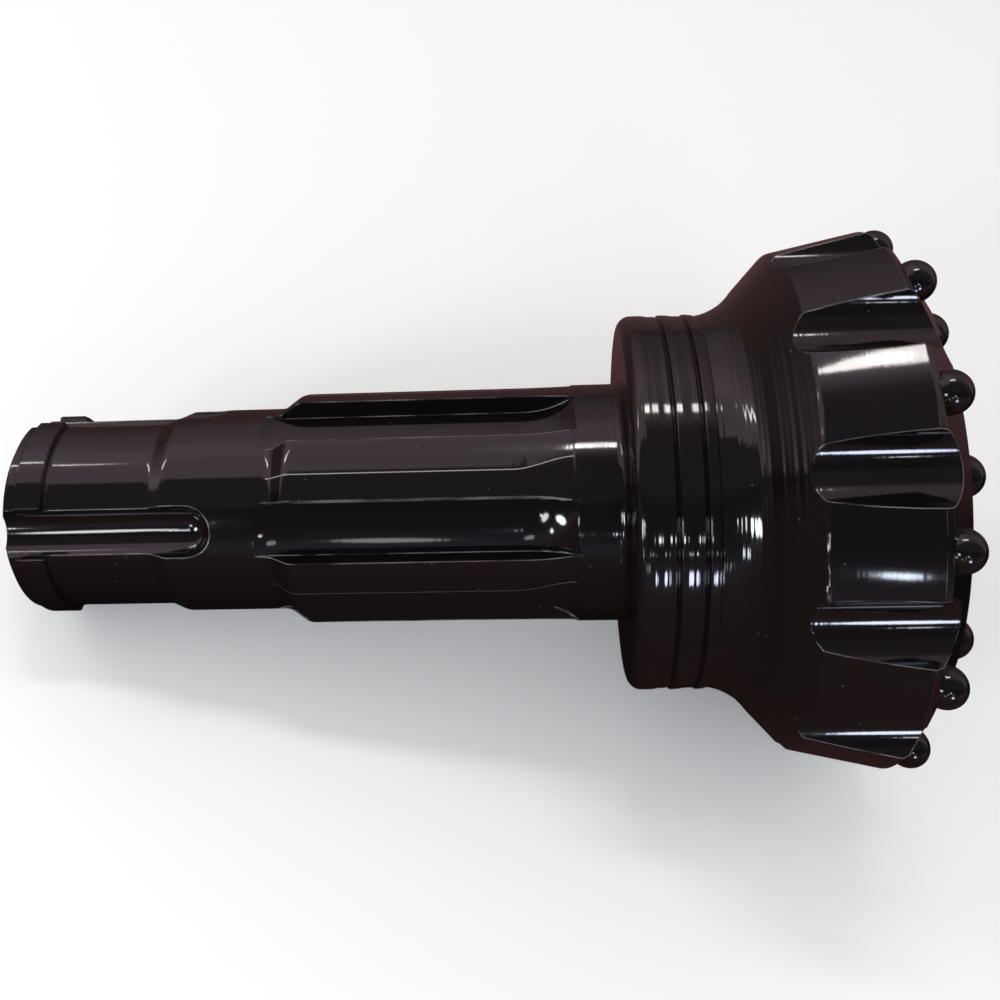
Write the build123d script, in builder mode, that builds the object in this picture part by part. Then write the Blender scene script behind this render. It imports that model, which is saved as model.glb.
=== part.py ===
from build123d import *
from math import atan2, cos, degrees, radians, sin, sqrt, tan
import os

os.makedirs("parts", exist_ok=True)

# Button drill bit for a down-the-hole hammer, lying as it rests on a flat floor.
# Millimetres and degrees. A station is a distance along the bit from its shank end.
# Turned angles start at the side that faces the floor.

# Stations along the bit
ring_station = 7.5
neck_station = 21
guide_station = 70
spline_station = 127.5
spline_end_station = 268
shoulder_station = 291
first_groove_station = 309.3
second_groove_station = 321
third_groove_station = 327
flare_station = 347.5
pad_station = 362
gauge_station = 403
gauge_face_station = 406

# Radii of the turned body
shank_end_radius = 42.5
pilot_radius = 46.8
ring_radius = 49.2
neck_radius = 46.2
guide_radius = 49.7
spline_radius = 56.6
shoulder_radius = 57.5
collar_radius = 90
flare_radius = 101.6
pad_radius = 117.5
gauge_radius = 126
gauge_face_radius = 124.6

# Slopes and roundings of the turned body
end_chamfer = 3
ring_chamfer = 0.8
ring_rounding = 1.8
guide_ramp = 8
guide_rounding = 6
lead_cone = 9.5
lead_rounding = 8
land_lead_out = 21
land_rise = 0.4
shoulder_rounding = 4
collar_rounding = 6
bead_drop = 0.6
bead_land = 2.8
last_bead_drop = 0.3
groove_width = 2.2
groove_depth = 2
groove_rounding = 1.2
shallow_groove_width = 1.6
shallow_groove_depth = 0.9
bead_start_slope = 0.05
bell_start_slope = 0.12
pad_rounding = 2.5
gauge_face_angle = 35
gauge_face_width = 21.1
dish_depth = 6

# Slots in the shank end
slot_count = 4
slot_radius = 12.8
slot_centre = 52.2
slot_length = 88
shank_turn = -133.6

# Splines
spline_count = 6
spline_groove_angle = 29.5
spline_floor_radius = 48.3
spline_cutter_radius = 38
spline_floor_start = 131

# Lands and flutes of the head
land_count = 12
flute_radius = 15
flute_centre = 127.2

# Air passages
valve_seat_radius = 18.25
valve_seat_depth = 52
valve_seat_chamfer = 2
air_bore_radius = 16
air_bore_station = 318
air_bore_taper = 9
air_hole_count = 4
air_hole_radius = 9
air_hole_spread = 38
wash_groove_radius = 9
wash_groove_rise = 4

# Carbide buttons
gauge_button_radius = 9
gauge_button_length = 27
gauge_button_inset = 7.3
face_button_radius = 9
face_button_length = 23
button_proud = 0.5
button_foot_chamfer = 1.5
button_fit = 0.02
outer_row_count = 8
outer_row_turn = -15
middle_row_count = 4
middle_row_turn = 45
inner_row_count = 4
inner_row_turn = 45

# Circles on the face, as shares of the radius of its flat rim
outer_row_share = 0.885
dish_share = 0.715
middle_row_share = 0.599
dish_floor_share = 0.454
inner_row_share = 0.27

# One overrun for every cut that passes through a surface
overrun = 4

# Sizes that follow from the ones above
land_pitch = 360 / land_count
gauge_slope = tan(radians(gauge_face_angle))
front_radius = gauge_face_radius - gauge_face_width
front_station = gauge_face_station + gauge_face_width * gauge_slope
dish_radius = front_radius * dish_share
dish_floor_radius = front_radius * dish_floor_share
gauge_button_circle = gauge_face_radius - gauge_button_inset
outer_row_circle = front_radius * outer_row_share
middle_row_circle = front_radius * middle_row_share
inner_row_circle = front_radius * inner_row_share
dish_angle = degrees(atan2(dish_depth, dish_radius - dish_floor_radius))
dish_station = front_station - dish_depth

# Rest on the floor, on the ring at the shank end and on two lands beside a flute
ring_contact_station = ring_station + ring_chamfer


def land_contact_tilt(station, radius):
    """Tilt at which the bit stands on its end ring and on the corners of a land beside a flute."""
    corner_reach = (radius**2 + flute_centre**2 - flute_radius**2) / (2 * flute_centre)
    return atan2(corner_reach - ring_radius, station - ring_contact_station)


rest_tilt = max(land_contact_tilt(pad_station, pad_radius), land_contact_tilt(gauge_station, gauge_radius))
axis_height = ring_radius * cos(rest_tilt) - ring_contact_station * sin(rest_tilt)
front_ball_station = front_station + button_proud
front_ball_drop = outer_row_circle * cos(radians(outer_row_turn)) * sin(rest_tilt)
front_reach = front_ball_station * cos(rest_tilt) + front_ball_drop + face_button_radius
rear_reach = shank_end_radius * sin(rest_tilt)
middle_shift = (front_reach - rear_reach) / 2

bit_frame = Plane(
    origin=(-middle_shift, 0, axis_height),
    x_dir=(sin(rest_tilt), 0, -cos(rest_tilt)),
    z_dir=(cos(rest_tilt), 0, sin(rest_tilt)),
)
bit_axis = Axis(bit_frame.origin, bit_frame.z_dir)
profile_plane = Plane(origin=bit_frame.origin, x_dir=bit_frame.z_dir, z_dir=bit_frame.y_dir)


def groove_points(station, width, depth, drop):
    """Corners of a V groove turned into the collar, its near lip lower by the drop of the bead before it."""
    return [
        (station - width / 2, collar_radius - drop),
        (station, collar_radius - depth),
        (station + width / 2, collar_radius),
    ]


def bead(start, end, land, drop):
    """Barrelled collar surface that falls towards the head and ends in a narrow flat land."""
    crown_end = (end - land, collar_radius - drop)
    TangentArc((start, collar_radius), crown_end, tangent=(1, bead_start_slope))
    if land > 0:
        Line(crown_end, (end, collar_radius - drop))


def seat_plane(station, circle, lean, turn):
    """Plane on the face of the bit, square to a button that is pressed in there."""
    outward = bit_frame.x_dir * cos(radians(turn)) + bit_frame.y_dir * sin(radians(turn))
    place = bit_frame.origin + bit_frame.z_dir * station + outward * circle
    normal = bit_frame.z_dir * cos(radians(lean)) + outward * sin(radians(lean))
    return Plane(origin=place, x_dir=bit_frame.z_dir.cross(outward), z_dir=normal)


def row_planes(station, circle, lean, count, first_turn):
    """Seats of one row of buttons, evenly spaced round the bit."""
    return [seat_plane(station, circle, lean, first_turn + i * 360 / count) for i in range(count)]


gauge_button_station = gauge_face_station + (gauge_face_radius - gauge_button_circle) * gauge_slope
middle_row_drop = (dish_radius - middle_row_circle) * tan(radians(dish_angle))
gauge_seats = row_planes(gauge_button_station, gauge_button_circle, gauge_face_angle, land_count, land_pitch / 2)
outer_seats = row_planes(front_station, outer_row_circle, 0, outer_row_count, outer_row_turn)
middle_seats = row_planes(
    front_station - middle_row_drop, middle_row_circle, -dish_angle, middle_row_count, middle_row_turn
)
inner_seats = row_planes(dish_station, inner_row_circle, 0, inner_row_count, inner_row_turn)
face_seats = outer_seats + middle_seats + inner_seats
gauge_hole_depth = gauge_button_length - gauge_button_radius - button_proud
face_hole_depth = face_button_length - face_button_radius - button_proud

# Round slot in the shank end, open at the end and ball-ended towards the head
with BuildPart() as end_slot:
    with BuildSketch(Plane.XY.offset(-overrun)):
        with Locations((slot_centre, 0)):
            Circle(slot_radius)
    extrude(amount=slot_length + overrun)
    with Locations((slot_centre, 0, slot_length)):
        Sphere(slot_radius)

# Spline groove, milled by a disc cutter that leaves a curved run-out at both ends
groove_half_angle = spline_groove_angle / 2
groove_top_radius = shoulder_radius + overrun
floor_corner = (
    spline_floor_radius * cos(radians(groove_half_angle)),
    spline_floor_radius * sin(radians(groove_half_angle)),
)
top_corner = (
    groove_top_radius * cos(radians(groove_half_angle)),
    groove_top_radius * sin(radians(groove_half_angle)),
)
runout_depth = spline_radius - spline_floor_radius
runout_length = sqrt(2 * spline_cutter_radius * runout_depth - runout_depth**2)
spline_floor_end = spline_end_station - runout_length
cutter_axis_radius = spline_floor_radius + spline_cutter_radius
with BuildPart() as spline_groove:
    with BuildSketch(Plane.XY.offset(spline_floor_start)) as groove_section:
        with BuildLine():
            Line((floor_corner[0], -floor_corner[1]), (top_corner[0], -top_corner[1]))
            Line((top_corner[0], -top_corner[1]), top_corner)
            Line(top_corner, floor_corner)
            ThreePointArc(floor_corner, (spline_floor_radius, 0), (floor_corner[0], -floor_corner[1]))
        make_face()
    extrude(amount=spline_floor_end - spline_floor_start)
    start_face = spline_groove.faces().sort_by(Axis.Z)[0]
    end_face = spline_groove.faces().sort_by(Axis.Z)[-1]
    revolve(start_face, Axis((cutter_axis_radius, 0, spline_floor_start), (0, -1, 0)), 90)
    revolve(end_face, Axis((cutter_axis_radius, 0, spline_floor_end), (0, 1, 0)), 90)

# Flute between two lands of the head, from the flare through to the face
with BuildPart() as head_flute:
    with BuildSketch(Plane.XY.offset(flare_station)):
        with Locations((flute_centre, 0)):
            Circle(flute_radius)
    extrude(amount=front_station + overrun - flare_station)

# Air hole from the end of the bore out to the face, with the wash groove that leads from it to a flute
hole_lean = degrees(atan2(air_hole_spread, dish_station - air_bore_station))
hole_length = sqrt(air_hole_spread**2 + (dish_station - air_bore_station) ** 2)
hole_plane = Plane(
    origin=(0, 0, air_bore_station),
    x_dir=(cos(radians(hole_lean)), 0, -sin(radians(hole_lean))),
    z_dir=(sin(radians(hole_lean)), 0, cos(radians(hole_lean))),
)
with BuildPart() as air_hole:
    with BuildSketch(hole_plane):
        Circle(air_hole_radius)
    extrude(amount=hole_length + 2 * overrun)
with BuildPart() as wash_groove:
    with BuildSketch(Plane.YZ.offset(air_hole_spread)):
        with Locations((0, front_station + wash_groove_rise)):
            Circle(wash_groove_radius)
    extrude(amount=gauge_radius - air_hole_spread)

# Forged and turned body, one piece from the shank end to the face
with BuildPart(bit_frame) as bit_body:
    with BuildSketch(profile_plane):
        with BuildLine():
            shank_outline = [
                (0, 0, 0),
                (0, shank_end_radius, 0),
                (end_chamfer, pilot_radius, 0),
                (ring_station, pilot_radius, 0),
                (ring_station, ring_radius - ring_chamfer, 0),
                (ring_contact_station, ring_radius, 0),
                (neck_station - ring_chamfer, ring_radius, 0),
                (neck_station, ring_radius - ring_chamfer, 0),
                (neck_station, neck_radius, ring_rounding),
                (guide_station, neck_radius, guide_rounding),
                (guide_station + guide_ramp, guide_radius, guide_rounding),
                (spline_station, guide_radius, lead_rounding),
                (spline_station + lead_cone, spline_radius, lead_rounding),
                (spline_end_station - land_lead_out, spline_radius, 0),
                (spline_end_station, spline_radius + land_rise, 0),
                (spline_end_station, shoulder_radius, 0),
                (shoulder_station, shoulder_radius, shoulder_rounding),
                (shoulder_station, collar_radius, collar_rounding),
                (shoulder_station + collar_rounding * 1.5, collar_radius, 0),
            ]
            FilletPolyline(
                [(station, radius) for station, radius, rounding in shank_outline],
                radius=[rounding for station, radius, rounding in shank_outline[1:-1]],
            )
            first_groove = groove_points(first_groove_station, groove_width, groove_depth, bead_drop)
            second_groove = groove_points(second_groove_station, groove_width, groove_depth, bead_drop)
            third_groove = groove_points(
                third_groove_station, shallow_groove_width, shallow_groove_depth, last_bead_drop
            )
            bead(shank_outline[-1][0], first_groove[0][0], bead_land, bead_drop)
            Polyline(first_groove)
            bead(first_groove[-1][0], second_groove[0][0], bead_land, bead_drop)
            Polyline(second_groove)
            bead(second_groove[-1][0], third_groove[0][0], 0, last_bead_drop)
            Polyline(third_groove[:2])
            TangentArc(third_groove[1], (flare_station, flare_radius), tangent=(1, bell_start_slope))
            head_outline = [(flare_station, flare_radius), (pad_station, pad_radius), (gauge_station, gauge_radius)]
            FilletPolyline(head_outline, radius=[pad_rounding])
            Polyline(
                (gauge_station, gauge_radius),
                (gauge_face_station, gauge_face_radius),
                (front_station, front_radius),
                (front_station, dish_radius),
                (dish_station, dish_floor_radius),
                (dish_station, 0),
                (0, 0),
            )
        make_face()
    revolve(axis=bit_axis)
    with BuildSketch(profile_plane):
        with BuildLine():
            Polyline(
                (-overrun, 0),
                (-overrun, valve_seat_radius + valve_seat_chamfer + overrun),
                (valve_seat_chamfer, valve_seat_radius),
                (valve_seat_depth, valve_seat_radius),
                (valve_seat_depth, air_bore_radius),
                (air_bore_station, air_bore_radius),
                (air_bore_station + air_bore_taper, 0),
                close=True,
            )
        make_face()
    revolve(axis=bit_axis, mode=Mode.SUBTRACT)
    with PolarLocations(0, slot_count, start_angle=shank_turn):
        add(end_slot.part, mode=Mode.SUBTRACT)
    with PolarLocations(0, spline_count, start_angle=shank_turn):
        add(spline_groove.part, mode=Mode.SUBTRACT)
    with PolarLocations(0, land_count):
        add(head_flute.part, mode=Mode.SUBTRACT)
    with PolarLocations(0, air_hole_count):
        add(wash_groove.part, mode=Mode.SUBTRACT)
        add(air_hole.part, mode=Mode.SUBTRACT)
    with BuildSketch(*[seat.offset(-gauge_hole_depth) for seat in gauge_seats]):
        Circle(gauge_button_radius + button_fit)
    extrude(amount=gauge_hole_depth + overrun, mode=Mode.SUBTRACT)
    with BuildSketch(*[seat.offset(-face_hole_depth) for seat in face_seats]):
        Circle(face_button_radius + button_fit)
    extrude(amount=face_hole_depth + overrun, mode=Mode.SUBTRACT)
bit_body.part.label = "bit_body"
export_step(bit_body.part, "parts/bit_body.step")


def make_button(name, seat, radius, length):
    """Domed carbide button, its foot on the floor of its hole and its dome just proud of the face."""
    foot = radius + button_proud - length
    section_plane = Plane(origin=seat.origin, x_dir=seat.x_dir, z_dir=-seat.y_dir)
    with BuildPart() as button:
        with BuildSketch(section_plane):
            with BuildLine():
                Polyline(
                    (0, radius + button_proud),
                    (0, foot),
                    (radius - button_foot_chamfer, foot),
                    (radius, foot + button_foot_chamfer),
                    (radius, button_proud),
                )
                RadiusArc((radius, button_proud), (0, radius + button_proud), -radius)
            make_face()
        revolve(axis=Axis(seat.origin, seat.z_dir))
    button.part.label = name
    export_step(button.part, f"parts/{name}.step")
    return button.part


gauge_buttons = [
    make_button(f"gauge_button_{i:02d}", seat, gauge_button_radius, gauge_button_length)
    for i, seat in enumerate(gauge_seats, 1)
]
face_buttons = [
    make_button(f"face_button_{i:02d}", seat, face_button_radius, face_button_length)
    for i, seat in enumerate(face_seats, 1)
]
print("buttons", len(gauge_buttons) + len(face_buttons))
print("rest tilt", round(degrees(rest_tilt), 2))
print("bounds", bit_body.part.bounding_box())
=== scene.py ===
import math
import bpy
from mathutils import Euler, Matrix, Vector

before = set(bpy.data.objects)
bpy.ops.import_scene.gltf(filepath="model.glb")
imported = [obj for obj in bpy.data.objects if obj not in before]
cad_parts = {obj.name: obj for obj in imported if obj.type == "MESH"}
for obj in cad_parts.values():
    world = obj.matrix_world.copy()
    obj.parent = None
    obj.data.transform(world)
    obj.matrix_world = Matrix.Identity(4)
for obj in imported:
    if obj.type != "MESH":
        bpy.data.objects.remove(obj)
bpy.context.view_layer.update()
bpy.ops.object.select_all(action="DESELECT")
print("frame loaded")


def makeMaterial(name):
    material = bpy.data.materials.new(name)
    material.use_nodes = True
    material.node_tree.nodes.clear()
    return material


def addNode(material, kind, at, **settings):
    node = material.node_tree.nodes.new(kind)
    node.location = at
    for key, value in settings.items():
        setattr(node, key, value)
    return node


def link(material, fromNode, fromSocket, toNode, toSocket):
    material.node_tree.links.new(fromNode.outputs[fromSocket], toNode.inputs[toSocket])


def give(material, socket, value):    # value is a number, a colour or the output of another node
    if isinstance(value, bpy.types.NodeSocket):
        material.node_tree.links.new(value, socket)
    else:
        socket.default_value = value


def calc(material, operation, at, *values):
    node = addNode(material, "ShaderNodeMath", at, operation=operation)
    for index, value in enumerate(values):
        give(material, node.inputs[index], value)
    return node.outputs["Value"]


def spread(material, at, value, fromRange, toRange=(0, 1), **settings):    # from one range into another
    node = addNode(material, "ShaderNodeMapRange", at, **settings)
    for socket, limit in zip(("From Min", "From Max", "To Min", "To Max"), (*fromRange, *toRange)):
        node.inputs[socket].default_value = limit
    give(material, node.inputs["Value"], value)
    return node.outputs["Result"]


def noise(material, at, vector, scale):
    node = addNode(material, "ShaderNodeTexNoise", at)
    node.inputs["Scale"].default_value = scale
    give(material, node.inputs["Vector"], vector)
    return node.outputs["Fac"]


def blend(material, at, factor, first, second, kind="RGBA"):
    node = addNode(material, "ShaderNodeMix", at, data_type=kind)
    give(material, node.inputs["Factor"], factor)
    give(material, node.inputs["A"], first)
    give(material, node.inputs["B"], second)
    return node.outputs["Result"]


def between(m, at, value, limits):    # 1 where the value is between two limits
    x, y = at
    above = calc(m, "GREATER_THAN", (x - 150, y), value, limits[0])
    below = calc(m, "LESS_THAN", (x - 150, y - 200), value, limits[1])
    return calc(m, "MULTIPLY", at, above, below)


# lengths are metres, and stations run along the bit's axis from the shank end
splines = {
    "radius": 0.0566,
    "step": math.radians(60),
    "start": math.radians(-1.65),      # where a crest starts, over the horizontal
    "crest": math.radians(30.5),       # width of a crest
    "lineAt": math.radians(12.7),      # a line of thick paint runs this far up each crest
    "lineClimb": math.radians(5.5),    # and climbs at its end
    "lineFrom": 0.1268,
    "climbFrom": 0.2405,
    "lineTo": 0.268,
    "lineWidth": 0.0004,
    "lineHeight": 0.00004,
}


def splineLine(m, along):    # 1 on the line of thick paint on each crest; it is bumped, and also painted light as a painted highlight
    x, y, z = (along.outputs[axis] for axis in ("X", "Y", "Z"))
    front = calc(m, "MULTIPLY", (-1400, -1300), y, -1)
    angle = calc(m, "ARCTAN2", (-1250, -1300), z, front)
    fromStart = calc(m, "SUBTRACT", (-1100, -1300), angle, splines["start"])
    turns = calc(m, "DIVIDE", (-950, -1300), fromStart, splines["step"])
    share = calc(m, "FRACT", (-800, -1300), turns)
    inStep = calc(m, "MULTIPLY", (-650, -1300), share, splines["step"])
    climb = spread(m, (-650, -1600), x, (splines["climbFrom"], splines["lineTo"]),
                   (splines["lineAt"], splines["lineAt"] + splines["lineClimb"]),
                   interpolation_type="SMOOTHSTEP")
    offLine = calc(m, "SUBTRACT", (-500, -1300), inStep, climb)
    offLine = calc(m, "ABSOLUTE", (-350, -1300), offLine)
    offLine = calc(m, "MULTIPLY", (-200, -1300), offLine, splines["radius"])
    line = spread(m, (-50, -1300), offLine, (0, splines["lineWidth"]), (1, 0),
                  interpolation_type="SMOOTHSTEP")
    there = between(m, (-50, -1600), x, (splines["lineFrom"], splines["lineTo"]))
    onCrest = calc(m, "LESS_THAN", (-200, -2000), inStep, splines["crest"])
    there = calc(m, "MULTIPLY", (100, -1800), there, onCrest)
    return calc(m, "MULTIPLY", (250, -1500), line, there)


edges = {                      # thin paint and bare steel along the edges, partly wear and partly painted highlight: lighter on edges that face up
    "colour": (0.32, 0.30, 0.31, 1),
    # strength of the worn and painted-highlight edge colour
    "wear": 0.8,
    "turned": (0.955, 0.86),   # how far the rounded normal has turned, from none of the lighter edge colour to all
    "shank": (0.024, 0.2665),  # stations of the shank that are worn
    "head": 0.36,              # and of the head, past this
    "up": (0.22, 0.6),         # height of the normal, from the least to all: edges facing up get more of the lighter colour, a painted highlight
    "least": 0.12,
    "patchScale": 60,
    "patches": (0.35, 0.6),
}


def edgeWearAndHighlight(m, turned, along, rounded, line):    # 0 where the paint is whole; elsewhere worn edges, plus painted highlight on edges facing up and on the spline paint line
    plain = addNode(m, "ShaderNodeNewGeometry", (-400, 500))
    sameWay = addNode(m, "ShaderNodeVectorMath", (-200, 500), operation="DOT_PRODUCT")
    link(m, plain, "Normal", sameWay, 0)
    link(m, rounded, "Normal", sameWay, 1)
    edge = spread(m, (0, 500), sameWay.outputs["Value"], edges["turned"])
    onShank = between(m, (0, 700), along.outputs["X"], edges["shank"])
    onHead = calc(m, "GREATER_THAN", (-200, 1000), along.outputs["X"], edges["head"])
    offCollar = calc(m, "ADD", (100, 700), onShank, onHead)
    facing = addNode(m, "ShaderNodeSeparateXYZ", (-200, 1300))
    link(m, plain, "Normal", facing, "Vector")
    # painted highlight: the lighter edge colour grows where the normal faces up
    upward = spread(m, (0, 1300), facing.outputs["Z"], edges["up"], (edges["least"], 1))
    patchy = noise(m, (-200, 1100), turned.outputs["Vector"], edges["patchScale"])
    patches = spread(m, (0, 1100), patchy, edges["patches"])
    wearAndHighlight = calc(m, "MULTIPLY", (150, 800), edge, offCollar)
    wearAndHighlight = calc(m, "MULTIPLY", (200, 900), wearAndHighlight, patches)
    # the thick paint line on the spline crests is painted light too: a painted highlight
    wearAndHighlight = calc(m, "MAXIMUM", (300, 900), wearAndHighlight, line)
    wearAndHighlight = calc(m, "MULTIPLY", (350, 1000), wearAndHighlight, upward)
    return calc(m, "MULTIPLY", (400, 900), wearAndHighlight, edges["wear"])


dust = {
    "colour": (0.05, 0.045, 0.04, 1),
    "scale": 340,
    "share": 0.035,            # of the pattern's cells that hold a speck
    "size": (0.10, 0.16),      # in cells, from full to none
}


def dustMask(m, turned):
    specks = addNode(m, "ShaderNodeTexVoronoi", (-700, 300), feature="F1")
    specks.inputs["Scale"].default_value = dust["scale"]
    link(m, turned, "Vector", specks, "Vector")
    speck = spread(m, (-500, 300), specks.outputs["Distance"], dust["size"], (1, 0))
    hue = addNode(m, "ShaderNodeSeparateColor", (-600, 120))
    link(m, specks, "Color", hue, "Color")
    picked = calc(m, "LESS_THAN", (-500, 120), hue.outputs["Red"], dust["share"])
    return calc(m, "MULTIPLY", (-300, 200), speck, picked)


rings = {                      # turning rings, irregular
    "scale": 330,
    "detail": 1,
    "height": 0.0003,
    "from": 0.292,             # deep over the collar and bell
    "to": 0.343,
    "fadeIn": 0.01,
    "fadeOut": 0.02,
    "rest": 0.04,              # share of the depth that is left elsewhere
}


def ringHeights(m, x):
    rough = addNode(m, "ShaderNodeTexNoise", (-700, -600), noise_dimensions="1D")
    rough.inputs["Scale"].default_value = rings["scale"]
    rough.inputs["Detail"].default_value = rings["detail"]
    give(m, rough.inputs["W"], x)
    before = (rings["from"] - rings["fadeIn"], rings["from"])
    after = (rings["to"], rings["to"] + rings["fadeOut"])
    deepIn = spread(m, (-700, -800), x, before, (rings["rest"], 1))
    deepOut = spread(m, (-700, -1000), x, after, (1, rings["rest"]))
    deep = calc(m, "MULTIPLY", (-500, -800), deepIn, deepOut)
    return calc(m, "MULTIPLY", (-400, -600), rough.outputs["Fac"], deep)


bit = {
    "tilt": math.radians(10.89),       # rise of the bit's axis towards the head
    "shankEnd": Vector((-0.21569, 0, 0.04675)),
}

# gloss black paint, thick and wet looking, over turned and milled steel
paint = {
    "colour": (0.0035, 0.0027, 0.0028, 1),
    "roughness": 0.07,
    "ior": 1.5,
    "rippleScale": 55,         # slow ripple of thick paint
    "rippleHeight": 0.00002,
    "buttonRipple": 0.2,       # share of it on the buttons
    "grainScale": 900,
    "grainHeight": 0.000005,
    "edgeRadius": 0.001,       # the paint rounds every edge
    "edgeSamples": 6,
}


def paintMaterial(name, rippleHeight):
    m = makeMaterial(name)
    out = addNode(m, "ShaderNodeOutputMaterial", (900, 0))
    shader = addNode(m, "ShaderNodeBsdfPrincipled", (600, 0))
    shader.inputs["Roughness"].default_value = paint["roughness"]
    shader.inputs["IOR"].default_value = paint["ior"]
    coords = addNode(m, "ShaderNodeTexCoord", (-1200, 0))
    turned = addNode(m, "ShaderNodeMapping", (-1000, 0))    # x runs along the bit's axis from the shank end
    turned.inputs["Rotation"].default_value = (0, bit["tilt"], 0)
    turned.inputs["Location"].default_value = -(Matrix.Rotation(bit["tilt"], 3, "Y") @ bit["shankEnd"])
    link(m, coords, "Object", turned, "Vector")
    along = addNode(m, "ShaderNodeSeparateXYZ", (-900, -600))
    link(m, turned, "Vector", along, "Vector")
    line = splineLine(m, along)

    rounded = addNode(m, "ShaderNodeBevel", (-400, -800), samples=paint["edgeSamples"])
    rounded.inputs["Radius"].default_value = paint["edgeRadius"]
    ripple = noise(m, (-700, -100), turned.outputs["Vector"], paint["rippleScale"])
    grain = noise(m, (-700, -350), turned.outputs["Vector"], paint["grainScale"])
    heights = (
        (ripple, rippleHeight, (-200, -100)),
        (grain, paint["grainHeight"], (0, -250)),
        (ringHeights(m, along.outputs["X"]), rings["height"], (200, -400)),
        (line, splines["lineHeight"], (400, -550)),
    )
    normal = rounded.outputs["Normal"]
    for source, height, at in heights:
        bump = addNode(m, "ShaderNodeBump", at)
        bump.inputs["Strength"].default_value = 1
        bump.inputs["Distance"].default_value = height
        give(m, bump.inputs["Height"], source)
        give(m, bump.inputs["Normal"], normal)
        normal = bump.outputs["Normal"]
    give(m, shader.inputs["Normal"], normal)

    dusty = blend(m, (0, 250), dustMask(m, turned), paint["colour"], dust["colour"])
    # worn edges and painted highlight: lighter grey on edges facing up and on the spline paint line
    wearAndHighlight = blend(m, (450, 300), edgeWearAndHighlight(m, turned, along, rounded, line), dusty, edges["colour"])
    give(m, shader.inputs["Base Color"], wearAndHighlight)
    link(m, shader, "BSDF", out, "Surface")
    return m


bodyPaint = paintMaterial("bodyPaint", paint["rippleHeight"])
buttonPaint = paintMaterial("buttonPaint", paint["rippleHeight"] * paint["buttonRipple"])
for name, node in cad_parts.items():
    for slot in node.material_slots:
        slot.material = bodyPaint if name == "bit_body" else buttonPaint
print("paint done")

# pale floor
floor = {"size": 60, "colour": (0.80, 0.80, 0.80, 1)}
bpy.ops.mesh.primitive_plane_add(size=floor["size"], location=(0, 0, 0))
floorPlane = bpy.context.object
floorPlane.name = "floor"
floorPaint = makeMaterial("floorPaint")
out = addNode(floorPaint, "ShaderNodeOutputMaterial", (300, 0))
shader = addNode(floorPaint, "ShaderNodeBsdfDiffuse", (0, 0))
shader.inputs["Color"].default_value = floor["colour"]
link(floorPaint, shader, "BSDF", out, "Surface")
floorPlane.data.materials.append(floorPaint)


def glowMaterial(name):
    material = makeMaterial(name)
    out = addNode(material, "ShaderNodeOutputMaterial", (900, 0))
    shader = addNode(material, "ShaderNodeEmission", (700, 0))
    link(material, shader, "Emission", out, "Surface")
    return material, shader


def placeIn(material):    # the X, Y and Z of each point, in metres
    coords = addNode(material, "ShaderNodeTexCoord", (-900, 0))
    apart = addNode(material, "ShaderNodeSeparateXYZ", (-700, 0))
    link(material, coords, "Object", apart, "Vector")
    return apart.outputs


def glowRamp(material, value, stops):
    ramp = addNode(material, "ShaderNodeValToRGB", (100, 100))
    elements = ramp.color_ramp.elements
    while len(elements) > 1:
        elements.remove(elements[0])
    elements[0].position = stops[0][0]
    elements[0].color = (*stops[0][1], 1)
    for position, colour in stops[1:]:
        elements.new(position).color = (*colour, 1)
    give(material, ramp.inputs["Fac"], value)
    return ramp.outputs["Color"]


def reflectionCard(piece, name, material):    # a glowing card that only the gloss sees: a painted reflection
    piece.name = name
    piece.data.materials.append(material)
    piece.visible_camera = False
    piece.visible_diffuse = False
    piece.visible_shadow = False
    piece.visible_transmission = False


# round glowing tent over the bit, seen only in reflections: a painted reflection of a room, dim in front,
# pink and bright behind
tent = {
    "radius": 9.0,
    "width": 60,
    "sides": 96,
    "gain": 1.2,
    "behind": (95.4, 108),     # degrees round from the front, where the bright side starts
    "fall": (-2.0, 1.0),       # along x, where it fades
    "fallLeft": 0.55,
    "colours": (               # by degrees over the floor, round from the front
        (0, (0.17, 0.14, 0.13)),
        (10, (0.20, 0.19, 0.26)),
        (20, (0.11, 0.095, 0.13)),
        (30, (0.06, 0.05, 0.07)),
        (52, (0.05, 0.04, 0.055)),
        (60, (0.12, 0.105, 0.125)),
        (92, (0.13, 0.105, 0.13)),
        (99, (0.20, 0.15, 0.18)),
        (106, (0.80, 0.60, 0.71)),
        (120, (0.98, 0.74, 0.88)),
        (132, (0.92, 0.68, 0.82)),
        (145, (0.62, 0.44, 0.52)),
        (160, (0.40, 0.29, 0.34)),
        (180, (0.14, 0.10, 0.12)),
    ),
}
bpy.ops.mesh.primitive_cylinder_add(vertices=tent["sides"], radius=tent["radius"], depth=tent["width"],
                                    end_fill_type="NGON", rotation=(0, math.pi / 2, 0))
bpy.ops.object.transform_apply(location=True, rotation=True, scale=True)
tentReflectionGlow, shader = glowMaterial("tentReflectionGlow")
at = placeIn(tentReflectionGlow)
front = calc(tentReflectionGlow, "MULTIPLY", (-500, 100), at["Y"], -1)
angle = calc(tentReflectionGlow, "ARCTAN2", (-300, 100), at["Z"], front)
share = calc(tentReflectionGlow, "DIVIDE", (-100, 100), angle, math.pi)
colour = glowRamp(tentReflectionGlow, share, [(degrees / 180, colour) for degrees, colour in tent["colours"]])
fade = spread(tentReflectionGlow, (-300, -200), at["X"], tent["fall"], (1, tent["fallLeft"]))
behind = spread(tentReflectionGlow, (100, -400), share, [degrees / 180 for degrees in tent["behind"]])
gain = blend(tentReflectionGlow, (400, -200), behind, 1, fade, "FLOAT")
give(tentReflectionGlow, shader.inputs["Color"], colour)
give(tentReflectionGlow, shader.inputs["Strength"], calc(tentReflectionGlow, "MULTIPLY", (550, -200), gain, tent["gain"]))
reflectionCard(bpy.context.object, "tent", tentReflectionGlow)
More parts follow.
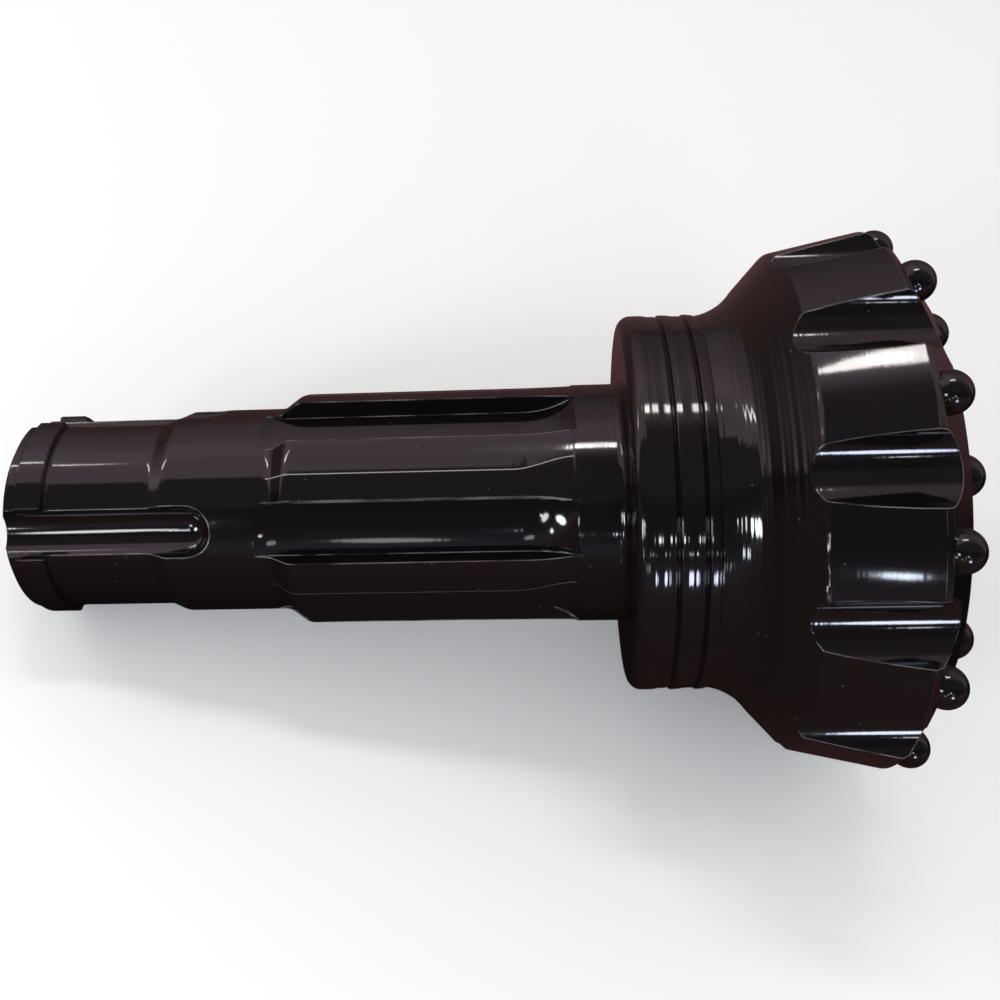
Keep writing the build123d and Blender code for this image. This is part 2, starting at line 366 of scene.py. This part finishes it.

# glowing brown mat under the bit, seen only in reflections: a painted reflection of a brown floor, with
# painted shadow darker towards the bit
mat = {
    "height": 0.0008,
    "reach": 1.2,
    "colours": (    # share of the reach, colour; the dark stops near the bit are painted shadow
        (0.05, (0.008, 0.004, 0.004)),
        (0.10, (0.05, 0.022, 0.020)),
        (0.17, (0.10, 0.046, 0.046)),
        (0.35, (0.145, 0.072, 0.074)),
        (1.0, (0.19, 0.105, 0.105)),
    ),
}
bpy.ops.mesh.primitive_plane_add(size=floor["size"], location=(0, 0, mat["height"]))
bpy.ops.object.transform_apply(location=True, rotation=True, scale=True)
matReflectionAndShadow, shader = glowMaterial("matReflectionAndShadow")
at = placeIn(matReflectionAndShadow)
away = calc(matReflectionAndShadow, "ABSOLUTE", (-300, 0), at["Y"])
share = calc(matReflectionAndShadow, "DIVIDE", (-100, 0), away, mat["reach"])
give(matReflectionAndShadow, shader.inputs["Color"], glowRamp(matReflectionAndShadow, share, mat["colours"]))
reflectionCard(bpy.context.object, "mat", matReflectionAndShadow)

# pale glowing board close over the shank, seen only in reflections: a painted reflection, its right end cut
# at a slant
board = {
    "height": 0.85,
    "left": -1.2,
    "right": -0.145,
    "depth": 0.40,
    "slant": 0.055,
    "colour": (1.0, 0.76, 0.88, 1),
}
middle = ((board["left"] + board["right"]) / 2, board["depth"] / 2, board["height"])
bpy.ops.mesh.primitive_plane_add(size=1, location=middle)
boardPiece = bpy.context.object
boardPiece.scale = (board["right"] - board["left"], board["depth"], 1)
bpy.ops.object.transform_apply(location=True, rotation=True, scale=True)
bpy.ops.object.mode_set(mode="EDIT")
bpy.ops.mesh.select_mode(type="VERT")
bpy.ops.mesh.select_all(action="DESELECT")
bpy.ops.object.mode_set(mode="OBJECT")
for vertex in boardPiece.data.vertices:
    vertex.select = vertex.co.x > middle[0] and vertex.co.y > middle[1]
bpy.ops.object.mode_set(mode="EDIT")
bpy.ops.transform.translate(value=(board["slant"], 0, 0))
bpy.ops.object.mode_set(mode="OBJECT")
boardReflectionGlow, shader = glowMaterial("boardReflectionGlow")
shader.inputs["Color"].default_value = board["colour"]
reflectionCard(boardPiece, "board", boardReflectionGlow)
print("glowCards done")

# small soft lamps, each set out from the spot of the bit where it is meant to shine
lampDistance = 1.5
lampRoundUnder = 3             # a lamp shorter than this many thicknesses is round


def wayTo(side, angle):    # degrees off to the right, and degrees over the floor, front to back
    s, a = math.radians(side), math.radians(angle)
    return Vector((math.sin(s), -math.cos(s) * math.cos(a), math.cos(s) * math.sin(a)))


def areaLamp(name, middle, along, length, thickness, radiance, tint, aim):
    light = bpy.data.lights.new(name, "AREA")
    light.shape = "RECTANGLE" if length > lampRoundUnder * thickness else "ELLIPSE"
    light.size = length
    light.size_y = thickness
    light.color = tint
    light.energy = radiance * math.pi * length * thickness
    lamp = bpy.data.objects.new(name, light)
    bpy.context.scene.collection.objects.link(lamp)
    back = (middle - aim).normalized()
    along = (along - back * along.dot(back)).normalized()
    lamp.location = middle
    lamp.rotation_euler = Matrix((along, back.cross(along), back)).transposed().to_euler()
    lamp.visible_camera = False


spots = {
    "slot": Vector((-0.176, -0.029, 0.082)),
    "slotEnd": Vector((-0.14, -0.030, 0.09)),
    "groove": Vector((-0.045, -0.038, 0.11)),
    "grooveEnd": Vector((0, -0.045, 0.12)),
    "collar": Vector((0.05, -0.060, 0.165)),
    "bell": Vector((0.105, -0.030, 0.18)),
    "land": Vector((0.149, -0.092, 0.20)),
    "landTop": Vector((0.141, -0.019, 0.238)),
    "flute": Vector((0.145, -0.060, 0.21)),
}
lamps = (
    # name, spot, side and height angle of one end, of the other end, thickness in degrees, radiance, tint
    ("bellTube", "bell", (-42, 120), (-64, 128), 3.0, 18, (1.0, 0.95, 0.93)),
    ("landBand", "landTop", (-12, 111.3), (-18.5, 111.3), 3.6, 19, (1.0, 0.94, 0.92)),
    ("windowRight", "flute", (11, 9), (20, 9), 9, 22, (0.72, 0.78, 1.0)),
    ("windowMid", "land", (-8.4, 22.5), (-10.8, 22.5), 2.6, 26, (0.75, 0.87, 1.0)),
    ("windowFloor", "groove", (-7.1, 13.5), (-15.2, 14.5), 5, 3.2, (0.97, 0.98, 1.0)),
    ("lampBeads", "collar", (3.5, 33.5), (7, 33.5), 4, 24, (0.92, 0.95, 1.0)),
    ("lampRow", "collar", (16, 26), (18, 26), 2, 18, (0.92, 0.95, 1.0)),
    ("windowLeft", "slot", (-27.1, 38), (-31.6, 31), 12, 14, (0.94, 0.96, 1.0)),
    ("lampSlot", "slotEnd", (-25.0, 38), (-27, 38), 3, 28, (0.96, 0.98, 1.0)),
    ("lampSide", "bell", (-62, 4), (-54, 26), 8, 24, (0.85, 0.93, 1.0)),
    ("lampRunOut", "grooveEnd", (-38, 9), (-41, 15), 4, 20, (0.88, 0.95, 1.0)),
)
for name, spot, first, second, thick, radiance, tint in lamps:
    ends = [spots[spot] + wayTo(*angles) * lampDistance for angles in (first, second)]
    areaLamp(name, (ends[0] + ends[1]) / 2, ends[1] - ends[0], (ends[1] - ends[0]).length,
             lampDistance * math.radians(thick), radiance, tint, spots[spot])

# ceiling light over the bit
ceiling = {
    "middle": Vector((-0.12, 0.94, 2.7)),
    "along": Vector((1, 0, 0)),
    "length": 0.8,
    "width": 0.25,
    "radiance": 19,
    "tint": (1.0, 0.94, 0.92),
    "aim": Vector((0.05, 0, 0.12)),
}
areaLamp("ceilingLight", ceiling["middle"], ceiling["along"], ceiling["length"], ceiling["width"],
         ceiling["radiance"], ceiling["tint"], ceiling["aim"])
print("lamps done")

# white studio round it all
studio = {"colour": (1, 1, 1, 1), "strength": 0.85}
world = bpy.data.worlds.new("studio")
bpy.context.scene.world = world
world.use_nodes = True
tree = world.node_tree
tree.nodes.clear()
worldOut = tree.nodes.new("ShaderNodeOutputWorld")
soft = tree.nodes.new("ShaderNodeBackground")
soft.inputs["Color"].default_value = studio["colour"]
soft.inputs["Strength"].default_value = studio["strength"]
tree.links.new(soft.outputs[0], worldOut.inputs[0])
bpy.context.scene.view_settings.view_transform = "Standard"

camera = {
    "place": (-0.04769, -0.30622, 0.5344),
    "turn": (38.265, -7.0, 1.194),     # degrees
    "sensor": 36,                      # mm, as the lens
    "lens": 39.395,
    "shift": (0.0233, -0.0742),
    "nearest": 0.01,
}
lens = bpy.data.cameras.new("camera")
lens.sensor_width = camera["sensor"]
lens.lens = camera["lens"]
lens.shift_x, lens.shift_y = camera["shift"]
lens.clip_start = camera["nearest"]
cameraObject = bpy.data.objects.new("camera", lens)
bpy.context.scene.collection.objects.link(cameraObject)
cameraObject.location = camera["place"]
cameraObject.rotation_euler = Euler([math.radians(degrees) for degrees in camera["turn"]])
bpy.context.scene.camera = cameraObject
